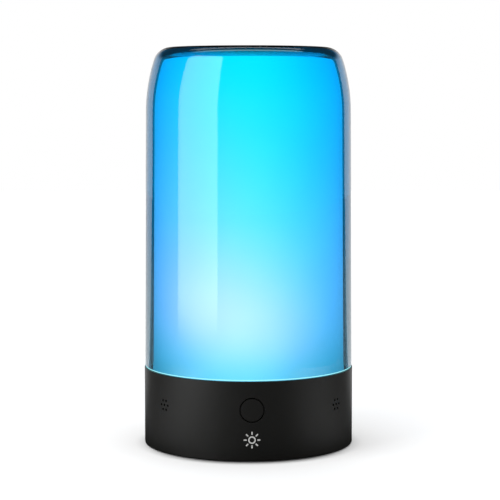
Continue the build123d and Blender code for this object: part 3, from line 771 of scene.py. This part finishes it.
@dataclass
class ButtonUnit(SubAssembly):
    """The push button and the switch and board behind it."""

    finishes: dict[str, Finish] = field(
        default_factory=lambda: {
            "button_cap": BUTTON_ABS,
            "switch_base": CHIP_EPOXY,
            "switch_cover": TIN_PLATE,
            "switch_plunger": NYLON_BLACK,
            "switch_dome": TIN_PLATE,
            "button_board": GREEN_BOARD,
            "button_board_screws": ZINC_STEEL,
            "button_lead": PVC_BLACK,
        }
    )
    dome_thickness: float = 0.15 * MM
    dome_segments: int = 64
    dome_points: int = 12

    def dome_face(self, radius: float, rise: float) -> Profile:
        """Half outline of one face of the domed contact, an arc from its rim up to its crown.

        Args:
            radius: the face's radius at the rim.
            rise: its height at the crown.

        Returns:
            Points from the rim to the crown on the axis.
        """
        bend = (radius**2 + rise**2) / (2 * rise)
        rim = math.degrees(math.asin((bend - rise) / bend))
        points = arc((0.0, rise - bend), bend, rim, 90.0, self.dome_points)
        return points[:-1] + [(0.0, rise)]

    def build(self) -> None:
        """Builds the switch's domed contact."""
        low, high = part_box("switch_dome")
        radius, rise = (high.x - low.x) / 2, high.y - low.y
        outer = self.dome_face(radius, rise)
        inner = self.dome_face(radius - self.dome_thickness, rise - self.dome_thickness)
        contact = revolve("contact_dome", outer + inner[::-1], self.dome_segments)
        centre = Vector(((low.x + high.x) / 2, high.y, (low.z + high.z) / 2))
        facing_front = Matrix.Rotation(math.radians(90), 4, "X")
        contact.data.transform(Matrix.Translation(centre) @ facing_front)
        contact.data.materials.append(TIN_PLATE.material())
        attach(contact, Body.LAMP.value)
        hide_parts("switch_dome")
        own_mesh(contact)
        log.info("contact_dome: %d faces", len(contact.data.polygons))


@dataclass
class Microphones(SubAssembly):
    """The two microphones in their rubber boots, with their leads."""

    finishes: dict[str, Finish] = field(
        default_factory=lambda: {
            f"{side}_{part}": finish
            for side in ("left", "right")
            for part, finish in (
                ("microphone", CAN_ALUMINIUM),
                ("mic_boot", GASKET_RUBBER),
                ("mic_lead", PVC_BLACK),
            )
        }
    )


@dataclass
class LightEngine(SubAssembly):
    """The light column with its LED boards, LEDs, screws and leads."""

    finishes: dict[str, Finish] = field(
        default_factory=lambda: {
            "light_column": ANODISED,
            "column_cap": WHITE_ABS,
            **{
                f"{place}_{part}": finish
                for place in ("front", "right", "back", "left")
                for part, finish in (("led_strip", LED_BOARD), ("leds", PHOSPHOR))
            },
            "top_led_board": LED_BOARD,
            "ring_led_board": LED_BOARD,
            "top_leds": PHOSPHOR,
            "ring_leds": PHOSPHOR,
            "column_screws": ZINC_STEEL,
            "strip_screws": ZINC_STEEL,
            "top_board_screws": ZINC_STEEL,
            "ring_board_screws": ZINC_STEEL,
            "column_lead": PVC_WHITE,
            "strip_leads": PVC_WHITE,
            "ring_lead": PVC_WHITE,
        }
    )


@dataclass
class Electronics(SubAssembly):
    """The main board with its radio, chips and sockets, and the power inlet."""

    finishes: dict[str, Finish] = field(
        default_factory=lambda: {
            "main_board": GREEN_BOARD,
            "radio_board": GREEN_BOARD,
            "radio_shield": TIN_PLATE,
            "power_inductor": CHIP_EPOXY,
            "capacitors": CAN_ALUMINIUM,
            "driver_chips": CHIP_EPOXY,
            "small_chips": CHIP_EPOXY,
            "lead_sockets": NYLON_CREAM,
            "board_screws": ZINC_STEEL,
            "power_jack": NYLON_BLACK,
            "jack_pin": NICKEL,
            "jack_spring": NICKEL,
        }
    )


# ---------------------------------------------------------------- studio


@dataclass(frozen=True)
class Softbox:
    """A rectangular softbox aimed at the lamp's axis, dimmer towards its lower edge if it has a fade.

    Its turn is to the left of the front, radiance is in watts per square metre and steradian, shift moves
    it along its width, drop tips it down, and mirrored says whether gloss and clear plastic show it.
    """

    name: str
    turn: float
    distance: float
    height: float
    width: float
    length: float
    radiance: float
    shift: float = 0.0
    drop: float = 0.0
    fade: float = 0.0
    mirrored: bool = True

    def hang(self) -> None:
        """Hangs the light, hidden from the camera itself."""
        light = bpy.data.lights.new(self.name, "AREA")
        light.shape = "RECTANGLE"
        light.size, light.size_y = self.width, self.length
        light.energy = self.radiance * math.pi * self.width * self.length
        lamp = bpy.data.objects.new(self.name, light)
        bpy.context.scene.collection.objects.link(lamp)
        turn = math.radians(self.turn)
        side = Vector((-math.sin(turn), -math.cos(turn), 0.0))
        along = Vector((-math.cos(turn), math.sin(turn), 0.0))
        lamp.location = side * self.distance + along * self.shift + Vector((0, 0, self.height))
        facing = -side - Vector((0, 0, self.drop))
        lamp.rotation_euler = facing.to_track_quat("-Z", "Y").to_euler()
        lamp.visible_camera = False
        lamp.visible_glossy = self.mirrored
        lamp.visible_transmission = self.mirrored
        if self.fade:
            self.fade_low_edge(light)

    def fade_low_edge(self, light: bpy.types.AreaLight) -> None:
        """Fades the lower part of the light, as a softbox dims away from its tube.

        Args:
            light: the light of this softbox.
        """
        light.use_nodes = True
        tree = light.node_tree
        where = add_node(tree, "ShaderNodeNewGeometry").outputs["Parametric"]
        axes = add_node(tree, "ShaderNodeSeparateXYZ", {0: where})
        level = add_node(
            tree,
            "ShaderNodeMapRange",
            Span(0.0, self.fade, 0.0, 1.0).inputs(axes.outputs["Y"]),
            interpolation_type="SMOOTHSTEP",
        )
        tree.links.new(level.outputs[0], tree.nodes["Emission"].inputs["Strength"])


SOFTBOXES = (
    Softbox(
        "left_softbox",
        turn=63.4,
        distance=0.36,
        height=0.265,
        width=0.317,
        length=0.52,
        radiance=2.15,
        shift=-0.044,
        fade=0.08,
    ),
    Softbox(
        "right_fill",
        turn=-82.0,
        distance=0.3,
        height=0.045,
        width=0.3,
        length=0.12,
        radiance=3.5,
        mirrored=False,
    ),
    Softbox(
        "overhead_softbox",
        turn=178.0,
        distance=0.22,
        height=0.62,
        width=0.5,
        length=0.12,
        radiance=1.0,
        drop=2.2,
    ),
)


@dataclass
class Studio:
    """A white sweep, softboxes and the camera.

    Spans named pool or reach run over the distance from the lamp's axis. The others run from -1 towards
    the camera to 1 straight behind the lamp. The wall fades out between wall_full and wall_top, which are
    sines of the angle above the floor. Anything named through is what shows through the clear cover.
    """

    camera_distance: float = 0.8248
    camera_height: float = 0.1671
    camera_tilt: float = 5.140
    camera_side: float = 1.85
    aim_side: float = 0.052
    lens_mm: float = 124.26
    sensor_mm: float = 36.0
    floor_radius: float = 2.2
    floor_segments: int = 96
    floor_roughness: float = 0.9
    # Painted shadows on the floor as the camera sees it: darker near the lamp and most in front, and a
    # painted contact shadow round the foot
    painted_front_shadow: Span = Span(-1.0, -0.6, 0.85, 0.92)
    shade_from: float = 0.15
    shade_to: float = 0.7
    painted_contact_shadow: Span = Span(-0.95, -0.4, 0.42, 0.85)
    contact_from: float = 0.0495
    contact_to: float = 0.0555
    camera_lift: float = 0.07
    # Painted shade at the foot and painted pools of light to the sides, on the floor as glossy surfaces
    # reflect it
    painted_dark_near_pool: Span = Span(0.055, 0.1, 0.04, 1.0)
    painted_far_pool: Span = Span(0.1, 1.2, 0.14, 0.03)
    painted_side_pool: Span = Span(0.2, 0.38, 0.42, 0.0)
    clear_of_front: Span = Span(-0.85, -0.55, 0.0, 1.0)
    clear_of_back: Span = Span(0.25, -0.35, 0.0, 1.0)
    sector_edge: Span = Span(0.70, 0.735, 0.0, 1.0)
    flag_edge: Span = Span(0.995, 0.985, 0.05, 1.0)
    wall_top: float = 0.35
    wall_full: float = 0.12
    wall_level: float = 0.8
    flag_level: float = 0.02
    through_colour: str = "#14b6f2"
    painted_through_floor: str = "#b4c6dc"
    through_reach: Span = Span(0.3, 1.6, 0.0, 1.0)
    painted_through_glow: float = 0.6
    through_gain: float = 1.75
    through_level: float = 0.2

    def build(self) -> None:
        """Builds the floor, the lights and the camera."""
        self.lay_floor()
        self.light_world()
        for softbox in SOFTBOXES:
            softbox.hang()
        self.place_camera()

    def lay_floor(self) -> None:
        """Lays the round white floor."""
        mesh = bpy.data.meshes.new("floor")
        shape = bmesh.new()
        bmesh.ops.create_circle(
            shape, cap_ends=True, segments=self.floor_segments, radius=self.floor_radius
        )
        shape.to_mesh(mesh)
        shape.free()
        floor = bpy.data.objects.new("floor", mesh)
        bpy.context.scene.collection.objects.link(floor)
        mesh.materials.append(self.sweep_paper())

    def sweep_paper(self) -> bpy.types.Material:
        """Makes the floor's paper: nearly white to the camera, dimmer in what reflects it, and with a
        painted blue glow where it shows through the clear cover.

        Returns:
            The paper's material.
        """
        paper = bpy.data.materials.new("paper_white_sweep")
        paper.use_nodes = True
        tree = paper.node_tree
        shader = tree.nodes["Principled BSDF"]
        shader.inputs["Roughness"].default_value = self.floor_roughness
        shader.inputs["Specular IOR Level"].default_value = 0.0
        shader.inputs["Emission Strength"].default_value = 1.0
        place = add_node(tree, "ShaderNodeTexCoord").outputs["Object"]
        reach = add_node(
            tree, "ShaderNodeVectorMath", {0: place}, operation="LENGTH"
        ).outputs["Value"]
        path = add_node(tree, "ShaderNodeLightPath")
        seen, through = path.outputs["Is Camera Ray"], path.outputs["Is Transmission Ray"]
        white = add_node(
            tree,
            "ShaderNodeMix",
            {
                "Factor": seen,
                2: self.reflected_floor(tree, place, reach),
                3: self.seen_floor(tree, place, reach),
            },
            data_type="FLOAT",
        )
        away = add_node(
            tree,
            "ShaderNodeMapRange",
            self.through_reach.inputs(reach),
            interpolation_type="SMOOTHSTEP",
        )
        # Painted glow: seen through the clear cover the floor turns blue, standing in for the diffuser's
        # own glow
        ends = {6: linear(self.painted_through_floor), 7: linear(self.through_colour)}
        tinge = add_node(
            tree, "ShaderNodeMix", {"Factor": away.outputs[0], **ends}, data_type="RGBA"
        )
        hue = add_node(
            tree,
            "ShaderNodeMix",
            {"Factor": through, 6: linear(WHITE), 7: tinge.outputs[2]},
            data_type="RGBA",
        )
        shade = add_node(
            tree,
            "ShaderNodeVectorMath",
            {0: hue.outputs[2], "Scale": white.outputs[0]},
            operation="SCALE",
        )
        tree.links.new(shade.outputs[0], shader.inputs["Base Color"])
        # The floor emits the painted glow where it is seen through the cover
        glow = add_node(tree, "ShaderNodeMath", {0: through, 1: self.painted_through_glow}, operation="MULTIPLY")
        lift = add_node(
            tree,
            "ShaderNodeMath",
            {0: seen, 1: self.camera_lift, 2: glow.outputs[0]},
            operation="MULTIPLY_ADD",
        )
        shine = add_node(
            tree,
            "ShaderNodeVectorMath",
            {0: shade.outputs[0], "Scale": lift.outputs[0]},
            operation="SCALE",
        )
        tree.links.new(shine.outputs[0], shader.inputs["Emission Color"])
        return paper

    def reflected_floor(
        self, tree: bpy.types.NodeTree, place: bpy.types.NodeSocket, reach: bpy.types.NodeSocket
    ) -> bpy.types.NodeSocket:
        """Adds the floor's level in what reflects it: painted shade dark at the foot, and a painted pool of
        light to each side.

        Args:
            tree: the floor's node tree.
            place: a place on the floor, from the lamp's axis.
            reach: its distance from the axis.

        Returns:
            The floor's level, 0 to 1.
        """
        near = add_node(
            tree,
            "ShaderNodeMapRange",
            self.painted_dark_near_pool.inputs(reach),
            interpolation_type="SMOOTHSTEP",
        )
        far = add_node(tree, "ShaderNodeMapRange", self.painted_far_pool.inputs(reach))
        pool_edge = add_node(
            tree,
            "ShaderNodeMapRange",
            self.painted_side_pool.inputs(reach),
            interpolation_type="SMOOTHSTEP",
        )
        beside = add_node(
            tree,
            "ShaderNodeMath",
            {0: self.flanks(tree, place), 1: pool_edge.outputs[0], 2: far.outputs[0]},
            operation="MULTIPLY_ADD",
        )
        backdrop = add_node(
            tree,
            "ShaderNodeMix",
            {"Factor": self.white_sector(tree, place), 2: beside.outputs[0], 3: self.wall_level},
            data_type="FLOAT",
        )
        return add_node(
            tree, "ShaderNodeMath", {0: near.outputs[0], 1: backdrop.outputs[0]}, operation="MULTIPLY"
        ).outputs[0]

    def seen_floor(
        self, tree: bpy.types.NodeTree, place: bpy.types.NodeSocket, reach: bpy.types.NodeSocket
    ) -> bpy.types.NodeSocket:
        """Adds the floor's level to the camera: white, with a painted shadow a little darker in front and a
        painted contact shadow round the foot.

        Args:
            tree: the floor's node tree.
            place: a place on the floor, from the lamp's axis.
            reach: its distance from the axis.

        Returns:
            The floor's level, 0 to 1.
        """
        behind = self.towards_back(tree, place)
        front = add_node(tree, "ShaderNodeMapRange", self.painted_front_shadow.inputs(behind))
        bright = add_node(
            tree,
            "ShaderNodeMapRange",
            {0: reach, 1: self.shade_from, 2: self.shade_to, 3: front.outputs[0], 4: 1.0},
        )
        # Painted contact shadow round the foot
        touch = add_node(tree, "ShaderNodeMapRange", self.painted_contact_shadow.inputs(behind))
        contact = add_node(
            tree,
            "ShaderNodeMapRange",
            {0: reach, 1: self.contact_from, 2: self.contact_to, 3: touch.outputs[0], 4: 1.0},
            interpolation_type="SMOOTHSTEP",
        )
        return add_node(
            tree, "ShaderNodeMath", {0: bright.outputs[0], 1: contact.outputs[0]}, operation="MULTIPLY"
        ).outputs[0]

    def towards_back(self, tree: bpy.types.NodeTree, way: bpy.types.NodeSocket) -> bpy.types.NodeSocket:
        """Measures how far a level direction points straight away from the camera.

        Args:
            tree: the node tree that takes the nodes.
            way: a direction, or a place on the floor, from the lamp's axis.

        Returns:
            1 straight behind the lamp, 0 to either side and -1 towards the camera.
        """
        flat = add_node(
            tree, "ShaderNodeVectorMath", {0: way, 1: LEVEL_ONLY}, operation="MULTIPLY"
        )
        compass = add_node(tree, "ShaderNodeVectorMath", {0: flat.outputs[0]}, operation="NORMALIZE")
        side = math.radians(self.camera_side)
        return add_node(
            tree,
            "ShaderNodeVectorMath",
            {0: compass.outputs[0], 1: (math.sin(side), math.cos(side), 0.0)},
            operation="DOT_PRODUCT",
        ).outputs["Value"]

    def flanks(self, tree: bpy.types.NodeTree, way: bpy.types.NodeSocket) -> bpy.types.NodeSocket:
        """Marks what lies to the sides, clear of the dark strips in front of the lamp and behind it.

        Args:
            tree: the node tree that takes the nodes.
            way: a place on the floor, from the lamp's axis.

        Returns:
            The share, 0 in front and behind and 1 to the sides.
        """
        behind = self.towards_back(tree, way)
        shares = [
            add_node(
                tree,
                "ShaderNodeMapRange",
                edge.inputs(behind),
                interpolation_type="SMOOTHSTEP",
            ).outputs[0]
            for edge in (self.clear_of_front, self.clear_of_back)
        ]
        return add_node(
            tree, "ShaderNodeMath", {0: shares[0], 1: shares[1]}, operation="MULTIPLY"
        ).outputs[0]

    def white_sector(self, tree: bpy.types.NodeTree, way: bpy.types.NodeSocket) -> bpy.types.NodeSocket:
        """Marks the white backdrop on both sides behind the lamp, with a black flag straight behind.

        Args:
            tree: the node tree that takes the nodes.
            way: a direction, or a place on the floor, from the lamp's axis.

        Returns:
            The backdrop's share, 0 to 1.
        """
        behind = self.towards_back(tree, way)
        inside = add_node(
            tree,
            "ShaderNodeMapRange",
            self.sector_edge.inputs(behind),
            interpolation_type="SMOOTHSTEP",
        )
        flag = add_node(
            tree,
            "ShaderNodeMapRange",
            self.flag_edge.inputs(behind),
            interpolation_type="SMOOTHSTEP",
        )
        return add_node(
            tree, "ShaderNodeMath", {0: inside.outputs[0], 1: flag.outputs[0]}, operation="MULTIPLY"
        ).outputs[0]

    def light_world(self) -> None:
        """Lights the room: white to the camera, and a white wall behind between black flags to gloss."""
        world = bpy.data.worlds.new("white_studio")
        world.use_nodes = True
        bpy.context.scene.world = world
        tree = world.node_tree
        tree.nodes.clear()
        way = add_node(tree, "ShaderNodeTexCoord").outputs["Generated"]
        axes = add_node(tree, "ShaderNodeSeparateXYZ", {0: way})
        low = add_node(
            tree,
            "ShaderNodeMapRange",
            Span(self.wall_top, self.wall_full, 0.0, self.wall_level).inputs(axes.outputs["Z"]),
            interpolation_type="SMOOTHSTEP",
        )
        gloss = add_node(
            tree,
            "ShaderNodeMath",
            {0: self.white_sector(tree, way), 1: low.outputs[0], 2: self.flag_level},
            operation="MULTIPLY_ADD",
        )
        path = add_node(tree, "ShaderNodeLightPath")
        plain = add_node(
            tree,
            "ShaderNodeMath",
            {0: path.outputs["Is Camera Ray"], 1: path.outputs["Is Diffuse Ray"]},
            operation="MAXIMUM",
        )
        level = add_node(
            tree,
            "ShaderNodeMix",
            {"Factor": plain.outputs[0], 2: gloss.outputs[0], 3: 1.0},
            data_type="FLOAT",
        )
        through = path.outputs["Is Transmission Ray"]
        lifted = add_node(
            tree,
            "ShaderNodeMath",
            {0: level.outputs[0], 1: self.through_gain, 2: self.through_level},
            operation="MULTIPLY_ADD",
        )
        strength = add_node(
            tree,
            "ShaderNodeMix",
            {"Factor": through, 2: level.outputs[0], 3: lifted.outputs[0]},
            data_type="FLOAT",
        )
        hue = add_node(
            tree,
            "ShaderNodeMix",
            {"Factor": through, 6: linear(WHITE), 7: linear(self.through_colour)},
            data_type="RGBA",
        )
        glow = add_node(
            tree, "ShaderNodeBackground", {"Color": hue.outputs[2], "Strength": strength.outputs[0]}
        )
        add_node(tree, "ShaderNodeOutputWorld", {"Surface": glow.outputs[0]})

    def place_camera(self) -> None:
        """Places the camera at the viewing angle, a little above the lamp's middle and looking down."""
        lens = bpy.data.cameras.new("camera")
        lens.sensor_width = self.sensor_mm
        lens.lens = self.lens_mm
        camera = bpy.data.objects.new("camera", lens)
        bpy.context.scene.collection.objects.link(camera)
        side = math.radians(self.camera_side)
        camera.location = (
            -self.camera_distance * math.sin(side),
            -self.camera_distance * math.cos(side),
            self.camera_height,
        )
        camera.rotation_euler = (
            math.radians(90 - self.camera_tilt),
            0.0,
            -side - math.radians(self.aim_side),
        )
        bpy.context.scene.camera = camera
        bpy.context.scene.view_settings.view_transform = "Standard"


def main() -> None:
    """Builds the lamp's sub-assemblies and the studio."""
    logging.basicConfig(level=logging.INFO, format="%(name)s %(message)s")
    for group in (Shade(), Base(), ButtonUnit(), Microphones(), LightEngine(), Electronics()):
        group.build()
        group.dress()
        log.info("%s built", type(group).__name__)
    Studio().build()


if __name__ == "__main__":
    main()
